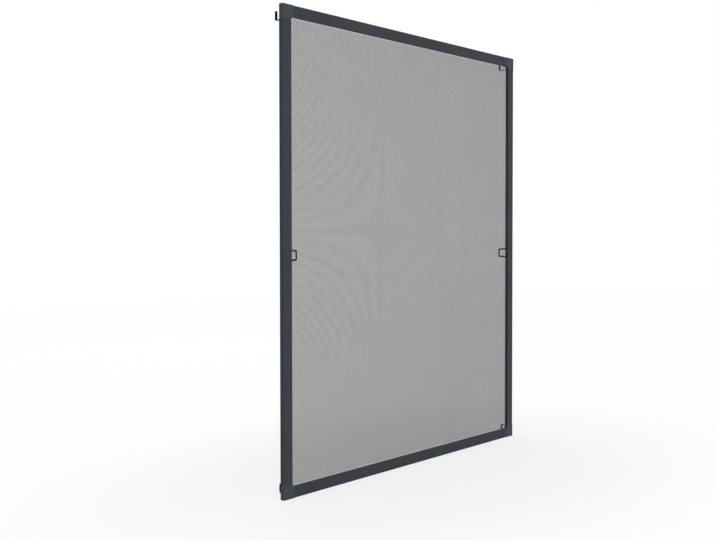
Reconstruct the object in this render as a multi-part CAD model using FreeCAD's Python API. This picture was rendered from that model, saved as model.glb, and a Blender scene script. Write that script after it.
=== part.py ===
import FreeCAD, Part
import math
import os

from FreeCAD import Vector

# Insect screen frame for a window, hung on the window frame by four hooks.
# Four hollow aluminium profiles are joined by four moulded corner pieces. A mesh is held in a
# groove at the back by four lengths of spline. Two pull loops are clamped in the same groove.
#
# All sizes are in millimetres. X runs to the right seen from outside, Y runs towards the
# window and Z runs up. The origin is the middle of the frame, on the plane of its back face.

# Overall size
frame_width = 1000.0
frame_height = 1200.0

# Aluminium profile
profile_face = 29.0
profile_depth = 13.0
profile_wall = 1.2
outer_edge_radius = 3.0
inner_edge_radius = 0.6
back_edge_radius = 0.6

# Mesh seat and spline groove, at the inner side of every profile
seat_depth = 8.2
lip_width = 1.2
groove_width = 3.6
groove_depth = 4.4

# Corner pieces
opening_fillet = 7.0
corner_edge_radius = 0.8
tenon_length = 45.0
tenon_clearance = 0.15
tenon_lead_in = 2.0
tooth_pitch = 5.0
tooth_depth = 0.6
tenon_web = 2.0
tenon_rib = 2.4
pocket_count = 3

# Mesh: a thin wall with crossed ridges for its threads and some of the gaps between them
mesh_thickness = 0.4
mesh_play = 0.05
ridge_height = 0.3
ridge_width = 1.5
ridge_margin = 0.5
gap_margin = 0.5
gap_columns = 10
gap_rows = 12
cells_per_gap = 7

# Spline, with the flats round it and the angle at which two lengths meet in a corner's middle
spline_play = 0.05
spline_flats = 16
mitre_angle = 45.0

# Hooks
hook_width = 7.5
hook_thickness = 1.3
hook_inset = 13.0
hook_tongue = 9.0
hook_upright = 23.0
hook_bend_radius = 1.0
hook_end_radius = 2.8
top_hook_reach = 27.0
bottom_hook_reach = 16.5
slot_clearance = 0.1
slot_end_play = 0.3
slot_wall = 1.0

# Pull loops
handle_root_height = 30.0
handle_far_height = 26.0
handle_length = 32.0
handle_bar = 4.2
handle_thickness = 2.0
handle_corner_radius = 5.0
handle_foot_height = 4.2
handle_tilt_angle = 8.6
handle_play = 0.1
handle_drop_left = 6.0
handle_drop_right = 14.0

# Places worked out from the sizes above
half_width = frame_width / 2
half_height = frame_height / 2
front_y = -profile_depth
seat_y = front_y + seat_depth
groove_floor_y = seat_y - groove_depth
groove_inner = profile_face - lip_width
groove_outer = groove_inner - groove_width
chamber_end = groove_outer - profile_wall
corner_leg = profile_face + opening_fillet
stile_length = frame_height - 2 * corner_leg
rail_length = frame_width - 2 * corner_leg
hook_level = corner_leg - slot_wall - slot_clearance - hook_thickness / 2

# Overlap of two shapes that are fused, and overshoot of a cut
bite = 1.0

# Angle of each side about Y, from the left side, and how far its outer edge is from the middle
side_angle = {"left": 0.0, "bottom": -90.0, "right": 180.0, "top": 90.0}
side_distance = {"left": half_width, "bottom": half_height, "right": half_width, "top": half_height}

# Each corner as its direction from the middle in X and in Z
corners = {
    "top_left": (-1, 1),
    "top_right": (1, 1),
    "bottom_left": (-1, -1),
    "bottom_right": (1, -1),
}


def box(x0, x1, y0, y1, z0, z1):
    return Part.makeBox(x1 - x0, y1 - y0, z1 - z0, Vector(x0, y0, z0))


def rounded_face(points):
    """Flat face in the XY plane, its outline given as corners (x, y, radius)."""
    places = [Vector(x, y, 0) for x, y, radius in points]
    edges = []
    first_start = None
    last_end = None
    for index, (x, y, radius) in enumerate(points):
        here = places[index]
        to_previous = (places[index - 1] - here).normalize()
        to_next = (places[(index + 1) % len(places)] - here).normalize()
        half_angle = to_previous.getAngle(to_next) / 2
        setback = radius / math.tan(half_angle)
        start = here + to_previous * setback
        end = here + to_next * setback
        if last_end is None:
            first_start = start
        else:
            edges.append(Part.makeLine(last_end, start))
        if radius > 0:
            inward = (to_previous + to_next).normalize()
            middle = here + inward * (radius / math.sin(half_angle) - radius)
            edges.append(Part.Arc(start, middle, end).toShape())
        last_end = end
    edges.append(Part.makeLine(last_end, first_start))
    return Part.Face(Part.Wire(edges))


def rectangle(x0, x1, y0, y1, radius=0):
    return [(x0, y0, radius), (x1, y0, radius), (x1, y1, radius), (x0, y1, radius)]


def opening_prism(grow, y0, y1):
    """The clear opening of the frame, made larger by grow all round, between two depths."""
    half_x = half_width - profile_face + grow
    half_z = half_height - profile_face + grow
    outline = rounded_face(rectangle(-half_x, half_x, -half_z, half_z, opening_fillet + grow))
    outline.rotate(Vector(0, 0, 0), Vector(1, 0, 0), 90)
    outline.translate(Vector(0, y0, 0))
    return outline.extrude(Vector(0, y1 - y0, 0))


def opening_ring(inner_grow, outer_grow, y0, y1):
    """The band that lies between two offsets of the clear opening."""
    return opening_prism(outer_grow, y0, y1).cut(opening_prism(inner_grow, y0 - bite, y1 + bite))


def place_on_side(shape, side):
    """Move a shape made with the outer edge at x = 0 and the middle at z = 0 to its side."""
    placed = shape.copy()
    placed.translate(Vector(-side_distance[side], 0, 0))
    placed.rotate(Vector(0, 0, 0), Vector(0, 1, 0), side_angle[side])
    return placed


def place_at_corner(shape, corner):
    """Move a shape made for the top left corner, with the corner point at the origin."""
    toward_x, toward_z = corners[corner]
    placed = shape.copy()
    if toward_x > 0:
        placed = placed.mirror(Vector(0, 0, 0), Vector(1, 0, 0))
    if toward_z < 0:
        placed = placed.mirror(Vector(0, 0, 0), Vector(0, 0, 1))
    placed.translate(Vector(toward_x * half_width, 0, toward_z * half_height))
    return placed


def profile_bar(length):
    """Hollow profile with the mesh seat and the spline groove, upright and centred on z = 0."""
    section = rounded_face([
        (0, front_y, outer_edge_radius),
        (profile_face, front_y, inner_edge_radius),
        (profile_face, seat_y, 0),
        (groove_inner, seat_y, 0),
        (groove_inner, groove_floor_y, 0),
        (groove_outer, groove_floor_y, 0),
        (groove_outer, 0, 0),
        (0, 0, back_edge_radius),
    ])
    main_chamber = rounded_face([
        (profile_wall, front_y + profile_wall, outer_edge_radius - profile_wall),
        (chamber_end, front_y + profile_wall, 0),
        (chamber_end, -profile_wall, 0),
        (profile_wall, -profile_wall, 0),
    ])
    small_chamber = rounded_face(rectangle(
        groove_outer, groove_inner, front_y + profile_wall, groove_floor_y - profile_wall))
    section = section.cut(main_chamber).cut(small_chamber)
    bar = section.extrude(Vector(0, 0, length))
    bar.translate(Vector(0, 0, -length / 2))
    return bar


def tooth_edge(root_z, tip_z):
    """Barbs along one edge of a tenon, as (depth of cut, z), from the root to the tip."""
    points = [(0, root_z)]
    z = root_z - bite - tooth_pitch
    while z - tooth_pitch > tip_z + tenon_lead_in:
        points.append((0, z))
        points.append((tooth_depth, z - tooth_pitch))
        points.append((0, z - tooth_pitch))
        z -= 2 * tooth_pitch
    points.append((0, tip_z + tenon_lead_in))
    points.append((tenon_lead_in / 2, tip_z))
    return points


def tenon():
    """Cored, barbed tongue that is pushed into the main chamber of a profile, pointing down."""
    near_x = profile_wall + tenon_clearance
    far_x = chamber_end - tenon_clearance
    low_y = front_y + profile_wall + tenon_clearance
    high_y = -profile_wall - tenon_clearance
    root_z = -corner_leg + bite
    tip_z = -corner_leg - tenon_length
    edge = tooth_edge(root_z, tip_z)
    near_side = [Vector(near_x + cut, low_y, z) for cut, z in edge]
    far_side = [Vector(far_x - cut, low_y, z) for cut, z in reversed(edge)]
    outline = near_side + far_side
    outline.append(outline[0])
    tongue = Part.Face(Part.makePolygon(outline)).extrude(Vector(0, high_y - low_y, 0))
    # The chamber is rounded at its outer front corner, so the tongue is cut off there
    cut_off = outer_edge_radius - profile_wall + bite
    corner_cut = Part.Face(Part.makePolygon([
        Vector(near_x - bite, low_y - bite, tip_z),
        Vector(near_x + cut_off, low_y - bite, tip_z),
        Vector(near_x - bite, low_y + cut_off, tip_z),
        Vector(near_x - bite, low_y - bite, tip_z),
    ])).extrude(Vector(0, 0, root_z - tip_z))
    tongue = tongue.cut(corner_cut)
    pocket_pitch = (tenon_length - tenon_rib) / pocket_count
    pocket_cut = (high_y - low_y - tenon_web) / 2
    inset = tenon_rib + tooth_depth
    for index in range(pocket_count):
        top_z = -corner_leg - tenon_rib - index * pocket_pitch
        bottom_z = top_z - pocket_pitch + tenon_rib
        for y0, y1 in ((low_y - bite, low_y + pocket_cut), (high_y - pocket_cut, high_y + bite)):
            tongue = tongue.cut(box(near_x + inset, far_x - inset, y0, y1, bottom_z, top_z))
    return tongue


def corner_piece():
    """Moulded corner with the groove run round it, a hook slot and two tenons, for the top left."""
    block = box(0, corner_leg, front_y, 0, -corner_leg, 0)
    # The edges to round lie on the outer sides, apart from those at the ends of the two legs
    rounded = [edge for edge in block.Edges
               if (edge.BoundBox.XMax < bite or edge.BoundBox.ZMin > -bite)
               and edge.BoundBox.XMin < bite and edge.BoundBox.ZMax > -bite]
    block = block.makeFillet(corner_edge_radius, rounded)
    to_corner = Vector(half_width, 0, -half_height)
    ledge = opening_prism(lip_width + groove_width, seat_y, bite)
    opening = opening_prism(0, front_y - bite, seat_y + bite)
    groove = opening_ring(lip_width, lip_width + groove_width, groove_floor_y, seat_y + bite)
    for cut in (ledge, opening, groove):
        cut.translate(to_corner)
        block = block.cut(cut)
    slot = box(
        hook_inset - slot_clearance, hook_inset + hook_width + slot_clearance,
        -hook_tongue - slot_end_play, bite,
        -hook_level - hook_thickness / 2 - slot_clearance,
        -hook_level + hook_thickness / 2 + slot_clearance)
    down_tenon = tenon()
    side_tenon = down_tenon.mirror(Vector(0, 0, 0), Vector(1, 0, 1))
    return block.cut(slot).fuse([down_tenon, side_tenon]).removeSplitter()


def evenly_spaced(length, count):
    """Middles of so many equal stretches along a length that is centred on zero."""
    pitch = length / count
    return [(index + 1 / 2) * pitch - length / 2 for index in range(count)]


def mesh_sheet():
    """Mesh stretched over the lip, with its border turned down into the groove."""
    tuck_inner = lip_width + mesh_play
    tuck_outer = tuck_inner + mesh_thickness
    back_y = seat_y + mesh_thickness
    sheet = opening_prism(tuck_outer, seat_y, back_y)
    tuck = opening_ring(tuck_inner, tuck_outer, groove_floor_y + mesh_thickness, back_y)
    opening_width = frame_width - 2 * profile_face
    opening_height = frame_height - 2 * profile_face
    cell_width = opening_width / (gap_columns * cells_per_gap)
    cell_height = opening_height / (gap_rows * cells_per_gap)
    ridge_reach_x = opening_width / 2 - ridge_margin
    ridge_reach_z = opening_height / 2 - ridge_margin
    half_ridge = ridge_width / 2
    threads = []
    for x in evenly_spaced(opening_width - cell_width, gap_columns * cells_per_gap - 1):
        threads.append(box(
            x - half_ridge, x + half_ridge, seat_y - ridge_height, seat_y, -ridge_reach_z, ridge_reach_z))
    for z in evenly_spaced(opening_height - cell_height, gap_rows * cells_per_gap - 1):
        threads.append(box(
            -ridge_reach_x, ridge_reach_x, back_y, back_y + ridge_height, z - half_ridge, z + half_ridge))
    half_gap_x = (cell_width - ridge_width) / 2 - gap_margin
    half_gap_z = (cell_height - ridge_width) / 2 - gap_margin
    gaps = []
    for x in evenly_spaced(opening_width, gap_columns):
        for z in evenly_spaced(opening_height, gap_rows):
            gaps.append(box(
                x - half_gap_x, x + half_gap_x, seat_y - bite, back_y + bite, z - half_gap_z, z + half_gap_z))
    return sheet.cut(gaps).fuse([tuck] + threads)


def spline_length(side):
    """Cord with narrow flats, pressed into the groove beside the mesh and bent at both ends."""
    taken_by_mesh = mesh_play + mesh_thickness
    radius = (groove_width - taken_by_mesh - 2 * spline_play) / 2
    offset = lip_width + taken_by_mesh + spline_play + radius
    centre_y = groove_floor_y + spline_play + radius
    centre_x = profile_face - offset
    straight = stile_length if side in ("left", "right") else rail_length
    outline = []
    for corner in range(spline_flats + 1):
        angle = 2 * math.pi * corner / spline_flats
        outline.append(Vector(
            centre_x + radius * math.cos(angle), centre_y + radius * math.sin(angle), -straight / 2))
    low_end = Part.Face(Part.makePolygon(outline))
    high_end = low_end.translated(Vector(0, 0, straight))
    bar = low_end.extrude(Vector(0, 0, straight))
    low_bend = low_end.revolve(Vector(corner_leg, centre_y, -straight / 2), Vector(0, 1, 0), -mitre_angle)
    high_bend = high_end.revolve(Vector(corner_leg, centre_y, straight / 2), Vector(0, 1, 0), mitre_angle)
    cord = bar.fuse([low_bend, high_bend]).removeSplitter()
    return place_on_side(cord, side)


def hook(reach):
    """Bent strip: a tongue in the slot, a base that stands back from the frame and an upright."""
    low = -hook_thickness / 2
    high = hook_thickness / 2
    outer_bend = hook_bend_radius + hook_thickness
    profile = rounded_face([
        (-hook_tongue, low, 0),
        (reach + hook_thickness, low, outer_bend),
        (reach + hook_thickness, hook_upright, 0),
        (reach, hook_upright, 0),
        (reach, high, hook_bend_radius),
        (-hook_tongue, high, 0),
    ])
    strip = profile.extrude(Vector(0, 0, hook_width))
    # One third of a turn about the diagonal makes X into Y, Y into Z and Z into X
    strip.rotate(Vector(0, 0, 0), Vector(1, 1, 1), 120)
    end_edges = [edge for edge in strip.Edges
                 if edge.BoundBox.ZMin > hook_upright - hook_end_radius
                 and edge.BoundBox.XLength < hook_end_radius
                 and edge.BoundBox.ZLength < hook_end_radius]
    strip = strip.makeFillet(hook_end_radius, end_edges)
    strip.translate(Vector(hook_inset, 0, -hook_level))
    return strip


def handle():
    """Pull loop with a foot that sits in the groove on top of the spline, for the left side."""
    foot_near = groove_outer + handle_play
    foot_far = groove_inner - mesh_play - mesh_thickness - handle_play
    spline_top = groove_floor_y + groove_width - mesh_play - mesh_thickness - spline_play
    foot_low = spline_top + handle_play
    half_root = handle_root_height / 2
    half_far = handle_far_height / 2
    foot = box(foot_near, foot_far, foot_low, foot_low + handle_foot_height, -half_root, half_root)
    outer = rounded_face([
        (-bite, -half_root, 0),
        (handle_length, -half_far, handle_corner_radius),
        (handle_length, half_far, handle_corner_radius),
        (-bite, half_root, 0),
    ])
    inner_radius = handle_corner_radius - handle_bar
    inner = rounded_face([
        (0, -half_root + handle_bar, 0),
        (handle_length - handle_bar, -half_far + handle_bar, inner_radius),
        (handle_length - handle_bar, half_far - handle_bar, inner_radius),
        (0, half_root - handle_bar, 0),
    ])
    loop = outer.cut(inner).extrude(Vector(0, 0, -handle_thickness))
    loop.rotate(Vector(0, 0, 0), Vector(1, 0, 0), 90)
    loop.rotate(Vector(0, 0, 0), Vector(0, 0, 1), handle_tilt_angle)
    rise = seat_y + mesh_thickness + ridge_height
    loop.translate(Vector(foot_far, rise, 0))
    return foot.fuse(loop).removeSplitter()


def build_parts():
    """Every piece of the screen, by the name of its file."""
    parts = {
        "left_stile": place_on_side(profile_bar(stile_length), "left"),
        "right_stile": place_on_side(profile_bar(stile_length), "right"),
        "top_rail": place_on_side(profile_bar(rail_length), "top"),
        "bottom_rail": place_on_side(profile_bar(rail_length), "bottom"),
        "mesh": mesh_sheet(),
    }
    top_left_corner = corner_piece()
    for corner in corners:
        reach = top_hook_reach if corner.startswith("top") else bottom_hook_reach
        parts["corner_" + corner] = place_at_corner(top_left_corner, corner)
        parts["hook_" + corner] = place_at_corner(hook(reach), corner)
    for side in side_angle:
        parts["spline_" + side] = spline_length(side)
    for side, drop in (("left", handle_drop_left), ("right", handle_drop_right)):
        loop = place_on_side(handle(), side)
        loop.translate(Vector(0, 0, -drop))
        parts["handle_" + side] = loop
    return parts


def main():
    os.makedirs("parts", exist_ok=True)
    for name, shape in build_parts().items():
        solids = shape.Solids
        if len(solids) != 1 or not solids[0].isValid():
            raise ValueError(name + " is not one valid solid")
        solids[0].exportStep("parts/" + name + ".step")
        size = shape.BoundBox
        print("%-22s %8.2f x %8.2f x %8.2f mm, %9.1f mm3" % (
            name, size.XLength, size.YLength, size.ZLength, shape.Volume))


main()
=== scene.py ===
"""Looks of a window insect screen: finishes, the woven mesh, a pale studio and the camera.

Lengths are in metres unless a name says otherwise. X runs to the right seen from outside, Y runs
from the front face to the back and Z runs up. The back face of the frame lies on y = 0.
"""
import math

import bpy
import numpy as np
from mathutils import Matrix, Vector


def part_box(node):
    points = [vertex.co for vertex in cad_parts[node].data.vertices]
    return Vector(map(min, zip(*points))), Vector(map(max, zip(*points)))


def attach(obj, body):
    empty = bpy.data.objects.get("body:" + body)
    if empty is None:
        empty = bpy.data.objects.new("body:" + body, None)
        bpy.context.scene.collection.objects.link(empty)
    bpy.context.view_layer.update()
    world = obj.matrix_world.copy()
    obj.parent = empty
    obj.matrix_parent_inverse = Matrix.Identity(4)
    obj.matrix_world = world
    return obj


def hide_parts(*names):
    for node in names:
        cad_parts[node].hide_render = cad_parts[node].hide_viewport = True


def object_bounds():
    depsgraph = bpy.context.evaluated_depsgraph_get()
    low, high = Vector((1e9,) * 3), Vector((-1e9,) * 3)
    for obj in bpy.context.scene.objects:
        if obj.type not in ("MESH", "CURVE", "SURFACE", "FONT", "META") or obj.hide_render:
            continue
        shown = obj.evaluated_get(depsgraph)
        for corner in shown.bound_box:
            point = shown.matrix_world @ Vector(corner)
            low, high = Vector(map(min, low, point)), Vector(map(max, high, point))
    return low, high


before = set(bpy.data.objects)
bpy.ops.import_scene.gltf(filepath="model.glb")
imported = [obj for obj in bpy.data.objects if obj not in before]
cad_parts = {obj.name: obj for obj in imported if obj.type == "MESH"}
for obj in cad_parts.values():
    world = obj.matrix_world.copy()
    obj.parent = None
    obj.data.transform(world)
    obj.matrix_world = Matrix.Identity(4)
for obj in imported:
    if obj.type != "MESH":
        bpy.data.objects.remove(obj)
cad_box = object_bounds()

MM = 0.001

# Photograph's frame, and the camera that fits the screen's straight edges in it
PHOTO_WIDTH = 716
PHOTO_HEIGHT = 540
FOCAL_PIXELS = 947.0
CENTRE_X_PIXELS = 358.1
CENTRE_Y_PIXELS = 256.5
SENSOR_WIDTH_MM = 36.0
CAMERA_PLACE = Vector((-2.0631, -1.6798, 0.0490))
CAMERA_HEADING = math.radians(47.676)
CAMERA_DIP = math.radians(1.425)
CAMERA_ROLL = math.radians(-0.069)

# Base colours of the finishes
BAR_COLOR = (0.0345, 0.0416, 0.0500)
CORNER_COLOR = (0.0395, 0.0560, 0.0680)
STRAND_COLOR = (0.0200, 0.0205, 0.0210)
SPLINE_COLOR = (0.0160, 0.0160, 0.0170)
HOOK_COLOR = (0.0045, 0.0045, 0.0050)
LOOP_COLOR = (0.0060, 0.0062, 0.0066)

# Range in which nearly all the values of a texture lie
TEXTURE_RANGE = (0.3, 0.7)

# Stretch of the extrusion lines for each axis: fine across the bar and long along it
LINES_ACROSS = 2200.0
LINES_ALONG = 9.0

# Weave of the mesh: its strands are flattened rods, thinner where they are squeezed in the groove
UPRIGHT_SPACING = 2.46 * MM
LEVEL_SPACING = 2.70 * MM
STRAND_WIDTH = 0.90 * MM
STRAND_THICKNESS = 0.56 * MM
TUCKED_THICKNESS = 0.30 * MM
STRAND_SIDES = 8

# Fillet of the clear opening, the lip round it and how the strands go over the lip
OPENING_FILLET = 7.0 * MM
LIP_WIDTH = 1.2 * MM
LIP_CLEARANCE = 0.05 * MM
LIP_RISE = 0.12 * MM
LIP_TURN = 0.25 * MM
LIP_RUN = 0.1 * MM
SPREAD_RUN = 2.5 * MM
TUCK_DEPTH = 4.0 * MM
TUCK_CLEARANCE = 0.2 * MM
FRONT_RELIEF = 0.3 * MM

# Floor: it is lit near the screen, runs out to nearly white, and further off breaks up into
# plain white grain by grain, so that its end makes no line behind the mesh. Towards the front
# and the back a distance counts for more, by the depth scale.
FLOOR_RADIUS = 40.0
FLOOR_SIDES = 96
FLOOR_DROP = 0.5 * MM
FLOOR_COLOR = (0.9, 0.9, 0.9)
FLOOR_DEPTH_SCALE = 1.5
FADE_DISTANCES = (0.35, 1.5)
FADE_WHITE = (0.78, 0.97)
GRAIN_DISTANCES = (2.0, 14.0)

# Light: the sky's strength, and each softbox's name, place, width, height and power in watts
SKY_LIGHT = 0.56
SOFTBOXES = (
    ("key_softbox", (-1.2, -3.4, 0.1), 2.8, 2.6, 66.0),
    ("back_softbox", (1.4, 3.0, 1.8), 2.4, 2.2, 42.0),
)


def clear_scene():
    """Remove what Blender starts with, apart from the CAD model."""
    for name in ("Cube", "Light", "Camera"):
        thing = bpy.data.objects.get(name)
        if thing is not None and thing.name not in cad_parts:
            bpy.data.objects.remove(thing, do_unlink=True)


def math_node(tree, operation, first, second=None):
    """Result of a sum, in which each value is a number or what another node gives."""
    made = tree.nodes.new("ShaderNodeMath")
    made.operation = operation
    for value, socket in ((first, made.inputs[0]), (second, made.inputs[1])):
        if isinstance(value, (int, float)):
            socket.default_value = value
        elif value is not None:
            tree.links.new(value, socket)
    return made.outputs[0]


def ramp(tree, value, span, ends, course="LINEAR"):
    """A value's way across a span, from the first end to the second."""
    made = tree.nodes.new("ShaderNodeMapRange")
    made.interpolation_type = course
    made.inputs["From Min"].default_value, made.inputs["From Max"].default_value = span
    made.inputs["To Min"].default_value, made.inputs["To Max"].default_value = ends
    tree.links.new(value, made.inputs["Value"])
    return made.outputs["Result"]


class Finish:
    """A node material built around one Principled shader, with textures in object space."""

    def __init__(self, name, color, roughness, specular):
        self.material = bpy.data.materials.new(name)
        self.material.use_nodes = True
        self.tree = self.material.node_tree
        self.shader = self.tree.nodes["Principled BSDF"]
        self.color = color
        self.shader.inputs["Base Color"].default_value = (*color, 1)
        self.shader.inputs["Roughness"].default_value = roughness
        self.shader.inputs["Specular IOR Level"].default_value = specular
        self.place = self.tree.nodes.new("ShaderNodeTexCoord").outputs["Object"]

    def join(self, out, into):
        self.tree.links.new(out, into)

    def stretched(self, scale):
        """Object coordinates multiplied by a scale for each axis."""
        mapping = self.tree.nodes.new("ShaderNodeMapping")
        mapping.inputs["Scale"].default_value = scale
        self.join(self.place, mapping.inputs["Vector"])
        return mapping.outputs["Vector"]

    def noise(self, scale, detail=2.0, place=None):
        """Noise with a number of waves to the metre."""
        texture = self.tree.nodes.new("ShaderNodeTexNoise")
        texture.inputs["Scale"].default_value = scale
        texture.inputs["Detail"].default_value = detail
        self.join(place or self.place, texture.inputs["Vector"])
        return texture.outputs["Fac"]

    def combine(self, operation, first, second=None):
        return math_node(self.tree, operation, first, second)

    def mixed(self, first, second, share):
        """A share of the first texture and the rest of the second."""
        return self.combine("ADD", self.combine("MULTIPLY", first, share),
                            self.combine("MULTIPLY", second, 1 - share))

    def vary_color(self, texture, darker, lighter):
        """Base colour between two shades of the finish, as a texture says."""
        mix = self.tree.nodes.new("ShaderNodeMix")
        mix.data_type = "RGBA"
        mix.inputs["A"].default_value = (*[part * darker for part in self.color], 1)
        mix.inputs["B"].default_value = (*[part * lighter for part in self.color], 1)
        self.join(ramp(self.tree, texture, TEXTURE_RANGE, (0.0, 1.0)), mix.inputs["Factor"])
        self.join(mix.outputs["Result"], self.shader.inputs["Base Color"])

    def vary_roughness(self, texture, low, high):
        self.join(ramp(self.tree, texture, TEXTURE_RANGE, (low, high)),
                  self.shader.inputs["Roughness"])

    def bump(self, layers):
        """Relief from several textures, each with its depth."""
        normal = None
        for texture, depth in layers:
            made = self.tree.nodes.new("ShaderNodeBump")
            made.inputs["Strength"].default_value = 1.0
            made.inputs["Distance"].default_value = depth
            self.join(texture, made.inputs["Height"])
            if normal is not None:
                self.join(normal, made.inputs["Normal"])
            normal = made.outputs["Normal"]
        self.join(normal, self.shader.inputs["Normal"])


def powder_coat(name, stretch):
    """Matt anthracite powder coat, with faint lines of the extrusion along the bar under it."""
    coat = Finish(name, BAR_COLOR, roughness=0.52, specular=0.14)
    cloud = coat.noise(7.0, detail=3.0)
    speckle = coat.noise(1800.0)
    orange_peel = coat.noise(420.0, detail=1.0)
    lines = coat.noise(1.0, detail=1.0, place=coat.stretched(stretch))
    coat.vary_color(coat.mixed(cloud, speckle, share=0.6), darker=0.86, lighter=1.14)
    coat.vary_roughness(speckle, low=0.42, high=0.60)
    coat.bump([(orange_peel, 0.14 * MM), (lines, 0.04 * MM), (speckle, 0.05 * MM)])
    return coat.material


def moulded_plastic():
    """Corner pieces, a little lighter and bluer than the bars, with a fine eroded grain."""
    plastic = Finish("corner_plastic", CORNER_COLOR, roughness=0.48, specular=0.16)
    grain = plastic.noise(1500.0, detail=3.0)
    flow = plastic.noise(22.0)
    plastic.vary_color(plastic.mixed(flow, grain, share=0.5), darker=0.90, lighter=1.10)
    plastic.vary_roughness(grain, low=0.38, high=0.54)
    plastic.bump([(grain, 0.08 * MM)])
    return plastic.material


def coated_strand():
    """Charcoal coated glass fibre, raised where a strand passes over the one it crosses."""
    strand = Finish("mesh_strand", STRAND_COLOR, roughness=0.55, specular=0.12)
    split = strand.tree.nodes.new("ShaderNodeSeparateXYZ")
    strand.join(strand.place, split.inputs["Vector"])
    waves = [strand.combine("SINE", strand.combine("MULTIPLY", split.outputs[axis], math.pi / gap))
             for axis, gap in (("X", UPRIGHT_SPACING), ("Z", LEVEL_SPACING))]
    over_under = strand.combine("MULTIPLY", *waves)
    strand.vary_color(strand.noise(60.0), darker=0.85, lighter=1.2)
    strand.bump([(over_under, 0.12 * MM), (strand.noise(2500.0), 0.02 * MM)])
    return strand.material


def ribbed_cord():
    """Black spline with close ribs round it, which grip the groove."""
    cord = Finish("spline_rubber", SPLINE_COLOR, roughness=0.62, specular=0.3)
    ribs = cord.tree.nodes.new("ShaderNodeTexWave")
    ribs.wave_type = "BANDS"
    ribs.bands_direction = "DIAGONAL"
    ribs.inputs["Scale"].default_value = 330.0
    ribs.inputs["Distortion"].default_value = 0.0
    cord.join(cord.place, ribs.inputs["Vector"])
    cord.vary_color(cord.noise(90.0), darker=0.85, lighter=1.15)
    cord.bump([(ribs.outputs["Fac"], 0.12 * MM), (cord.noise(1200.0), 0.02 * MM)])
    return cord.material


def hook_coat():
    """Black dip coat on bent steel strip, fairly smooth, with soft waves."""
    coat = Finish("hook_coat", HOOK_COLOR, roughness=0.38, specular=0.10)
    waves = coat.noise(160.0, detail=1.0)
    coat.vary_color(waves, darker=0.8, lighter=1.3)
    coat.vary_roughness(coat.noise(900.0), low=0.28, high=0.42)
    coat.bump([(waves, 0.06 * MM), (coat.noise(1500.0), 0.01 * MM)])
    return coat.material


def soft_plastic():
    """Flexible black plastic of the pull loops."""
    plastic = Finish("loop_plastic", LOOP_COLOR, roughness=0.50, specular=0.12)
    grain = plastic.noise(1300.0)
    plastic.vary_color(plastic.noise(50.0), darker=0.85, lighter=1.2)
    plastic.vary_roughness(grain, low=0.42, high=0.56)
    plastic.bump([(grain, 0.03 * MM)])
    return plastic.material


def finish_cad_nodes():
    """Give every CAD node that stays in view the finish that a piece of its name picks."""
    stile_coat = powder_coat("bar_coat_upright", (LINES_ACROSS, LINES_ACROSS, LINES_ALONG))
    rail_coat = powder_coat("bar_coat_level", (LINES_ALONG, LINES_ACROSS, LINES_ACROSS))
    finishes = {
        "_stile": stile_coat,
        "_rail": rail_coat,
        "corner_": moulded_plastic(),
        "spline_": ribbed_cord(),
        "hook_": hook_coat(),
        "handle_": soft_plastic(),
    }
    for name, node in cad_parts.items():
        for part_of_name, finish in finishes.items():
            if part_of_name in name:
                node.data.materials.clear()
                node.data.materials.append(finish)


def centred_places(half, spacing):
    """Places of parallel strands, evenly spaced about the middle of the opening."""
    count = int(2 * half / spacing)
    return (np.arange(count) - (count - 1) / 2) * spacing


def strand_reach(places, half_across, half_along):
    """How far each strand runs to the opening's edge, which turns its corners on a fillet."""
    reach = np.full(len(places), half_along)
    beyond = np.abs(places) - (half_across - OPENING_FILLET)
    in_corner = beyond > 0
    radius = OPENING_FILLET
    reach[in_corner] -= radius - np.sqrt(radius ** 2 - np.minimum(beyond[in_corner], radius) ** 2)
    return reach


def strand_rings(reach, layer_y, lip_y, tuck_y):
    """Rings along the strands, each as its places along them, its depth and its thickness."""
    over_lip = LIP_WIDTH + LIP_CLEARANCE + TUCKED_THICKNESS / 2
    path = [
        (over_lip, tuck_y, TUCKED_THICKNESS),
        (over_lip, lip_y, TUCKED_THICKNESS),
        (over_lip - LIP_TURN, lip_y + LIP_RISE, TUCKED_THICKNESS),
        (-LIP_RUN, lip_y + LIP_RISE, TUCKED_THICKNESS),
        (-SPREAD_RUN, layer_y, STRAND_THICKNESS),
    ]
    near = [(-(reach + out), depth, thickness) for out, depth, thickness in path]
    far = [(reach + out, depth, thickness) for out, depth, thickness in reversed(path)]
    return near + far


def strand_points(places, rings, upright):
    """Points of parallel strands: one by one, ring by ring and round each ring."""
    angles = (np.arange(STRAND_SIDES) + 0.5) * 2 * math.pi / STRAND_SIDES
    corner_fit = 1 / math.cos(math.pi / STRAND_SIDES)
    side = np.cos(angles) * corner_fit * STRAND_WIDTH / 2
    lift = np.sin(angles) * corner_fit / 2
    across_axis, along_axis = (0, 2) if upright else (2, 0)
    last = len(rings) - 1
    points = np.zeros((len(places), len(rings), STRAND_SIDES, 3))
    for index, (along, depth, thickness) in enumerate(rings):
        if index in (0, last):
            # The end of a strand points down into the groove, so its thickness lies along it
            outward = -1.0 if index == 0 else 1.0
            points[:, index, :, along_axis] = along[:, None] + outward * lift * thickness
            points[:, index, :, 1] = depth
        else:
            points[:, index, :, along_axis] = along[:, None]
            points[:, index, :, 1] = depth + lift * thickness
        points[:, index, :, across_axis] = places[:, None] + side
    return points.reshape(-1, 3)


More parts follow.
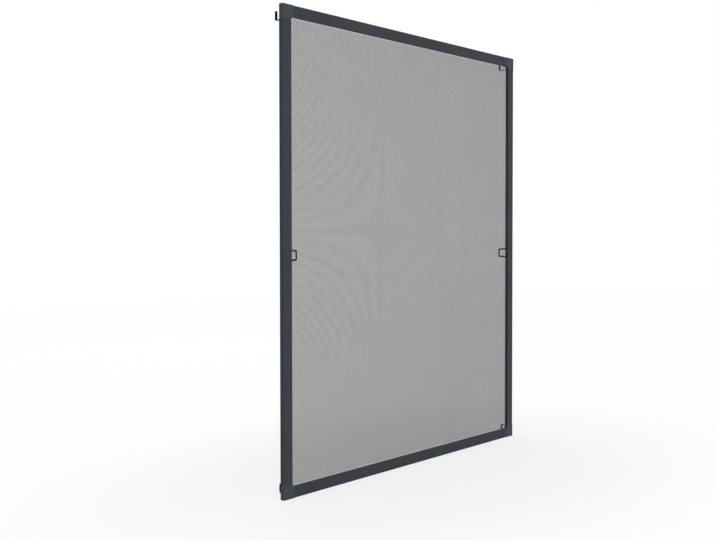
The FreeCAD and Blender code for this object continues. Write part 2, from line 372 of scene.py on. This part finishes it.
def strand_faces(strand_count, ring_count, upright, first_point):
    """Faces of the strands, which are closed at both ends."""
    faces = []
    for strand in range(strand_count):
        base = first_point + strand * ring_count * STRAND_SIDES
        last = base + (ring_count - 1) * STRAND_SIDES
        for start in range(base, last, STRAND_SIDES):
            for corner in range(STRAND_SIDES):
                after = (corner + 1) % STRAND_SIDES
                faces.append((start + corner, start + after,
                              start + STRAND_SIDES + after, start + STRAND_SIDES + corner))
        faces.append(tuple(reversed(range(base, base + STRAND_SIDES))))
        faces.append(tuple(range(last, last + STRAND_SIDES)))
    return faces if upright else [face[::-1] for face in faces]


def woven_mesh():
    """The whole weave as one piece, stretched over the lip and tucked in the groove."""
    low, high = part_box("mesh")
    half_width = -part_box("left_stile")[1].x
    half_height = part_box("top_rail")[0].z
    seat_y = low.y + TUCK_DEPTH
    tuck_y = low.y + TUCK_CLEARANCE
    lip_y = seat_y + TUCKED_THICKNESS / 2 + LIP_CLEARANCE
    front_y = seat_y - FRONT_RELIEF + STRAND_THICKNESS / 2
    back_y = high.y - STRAND_THICKNESS / 2
    points, faces = [], []
    for upright, spacing, half_across, half_along, layer_y in (
            (True, UPRIGHT_SPACING, half_width, half_height, front_y),
            (False, LEVEL_SPACING, half_height, half_width, back_y)):
        places = centred_places(half_across, spacing)
        reach = strand_reach(places, half_across, half_along)
        rings = strand_rings(reach, layer_y, lip_y, tuck_y)
        faces += strand_faces(len(places), len(rings), upright, len(points))
        points += strand_points(places, rings, upright).tolist()
    data = bpy.data.meshes.new("woven_mesh")
    data.from_pydata(points, [], faces)
    data.update()
    data.materials.append(coated_strand())
    piece = bpy.data.objects.new("woven_mesh", data)
    bpy.context.scene.collection.objects.link(piece)
    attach(piece, "root")
    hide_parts("mesh")


def seen_rays(tree):
    """One for the rays that see the pale background: from the camera, gloss and glass."""
    rays = tree.nodes.new("ShaderNodeLightPath")
    gloss_and_glass = math_node(tree, "MAXIMUM", rays.outputs["Is Glossy Ray"],
                                rays.outputs["Is Transmission Ray"])
    return math_node(tree, "MAXIMUM", rays.outputs["Is Camera Ray"], gloss_and_glass)


def blend(tree, share, first, second):
    """Mix of two shaders, all of the second where the share is one."""
    mix = tree.nodes.new("ShaderNodeMixShader")
    tree.links.new(share, mix.inputs["Fac"])
    tree.links.new(first.outputs[0], mix.inputs[1])
    tree.links.new(second.outputs[0], mix.inputs[2])
    return mix.outputs[0]


def floor_material():
    """Pale floor that takes light and shadow near the screen and runs out to plain white."""
    made = bpy.data.materials.new("studio_floor")
    made.use_nodes = True
    tree = made.node_tree
    tree.nodes.clear()
    place = tree.nodes.new("ShaderNodeTexCoord").outputs["Object"]
    narrow = tree.nodes.new("ShaderNodeMapping")
    narrow.inputs["Scale"].default_value = (1.0, FLOOR_DEPTH_SCALE, 1.0)
    tree.links.new(place, narrow.inputs["Vector"])
    length = tree.nodes.new("ShaderNodeVectorMath")
    length.operation = "LENGTH"
    tree.links.new(narrow.outputs["Vector"], length.inputs[0])
    distance = length.outputs["Value"]
    nearly_white = ramp(tree, distance, FADE_DISTANCES, FADE_WHITE, "SMOOTHERSTEP")
    chance = ramp(tree, distance, GRAIN_DISTANCES, (0.0, 1.0), "SMOOTHERSTEP")
    grains = tree.nodes.new("ShaderNodeTexWhiteNoise")
    tree.links.new(place, grains.inputs["Vector"])
    plain_grain = math_node(tree, "LESS_THAN", grains.outputs["Value"], chance)
    white_share = math_node(tree, "MAXIMUM", nearly_white, plain_grain)
    share = math_node(tree, "MULTIPLY", white_share, seen_rays(tree))
    paint = tree.nodes.new("ShaderNodeBsdfDiffuse")
    paint.inputs["Color"].default_value = (*FLOOR_COLOR, 1)
    white = tree.nodes.new("ShaderNodeEmission")
    output = tree.nodes.new("ShaderNodeOutputMaterial")
    tree.links.new(blend(tree, share, paint, white), output.inputs["Surface"])
    return made


def floor():
    """Large round floor just under the screen."""
    level = cad_box[0].z - FLOOR_DROP
    bpy.ops.mesh.primitive_circle_add(vertices=FLOOR_SIDES, radius=FLOOR_RADIUS,
                                      fill_type="NGON", location=(0, 0, level))
    made = bpy.context.object
    made.name = "floor"
    made.data.materials.append(floor_material())


def sky():
    """Even light from all round, which the camera and the gloss see as plain white."""
    world = bpy.data.worlds.new("studio_world")
    bpy.context.scene.world = world
    world.use_nodes = True
    tree = world.node_tree
    tree.nodes.clear()
    lit = tree.nodes.new("ShaderNodeBackground")
    lit.inputs["Color"].default_value = (1, 1, 1, 1)
    lit.inputs["Strength"].default_value = SKY_LIGHT
    plain = tree.nodes.new("ShaderNodeBackground")
    plain.inputs["Color"].default_value = (1, 1, 1, 1)
    output = tree.nodes.new("ShaderNodeOutputWorld")
    tree.links.new(blend(tree, seen_rays(tree), lit, plain), output.inputs["Surface"])


def softbox(name, place, width, height, power):
    """Area lamp that faces the middle of the screen and isn't in the picture itself."""
    data = bpy.data.lights.new(name, "AREA")
    data.shape = "RECTANGLE"
    data.size = width
    data.size_y = height
    data.energy = power
    lamp = bpy.data.objects.new(name, data)
    bpy.context.scene.collection.objects.link(lamp)
    lamp.location = place
    lamp.rotation_euler = Vector(place).to_track_quat("Z", "Y").to_euler()
    lamp.visible_camera = False
    lamp.visible_transmission = False


def camera():
    """Camera at the photograph's place, with its focal length and middle."""
    data = bpy.data.cameras.new("camera")
    data.sensor_width = SENSOR_WIDTH_MM
    data.lens = FOCAL_PIXELS / PHOTO_WIDTH * SENSOR_WIDTH_MM
    data.shift_x = -(CENTRE_X_PIXELS - PHOTO_WIDTH / 2) / PHOTO_WIDTH
    data.shift_y = (CENTRE_Y_PIXELS - PHOTO_HEIGHT / 2) / PHOTO_WIDTH
    made = bpy.data.objects.new("camera", data)
    bpy.context.scene.collection.objects.link(made)
    level_view = math.pi / 2
    turn = (Matrix.Rotation(-CAMERA_HEADING, 4, "Z")
            @ Matrix.Rotation(level_view - CAMERA_DIP, 4, "X")
            @ Matrix.Rotation(CAMERA_ROLL, 4, "Z"))
    made.matrix_world = Matrix.Translation(CAMERA_PLACE) @ turn
    bpy.context.scene.camera = made


clear_scene()
finish_cad_nodes()
woven_mesh()
floor()
sky()
for box in SOFTBOXES:
    softbox(*box)
camera()
bpy.context.scene.view_settings.view_transform = "Standard"
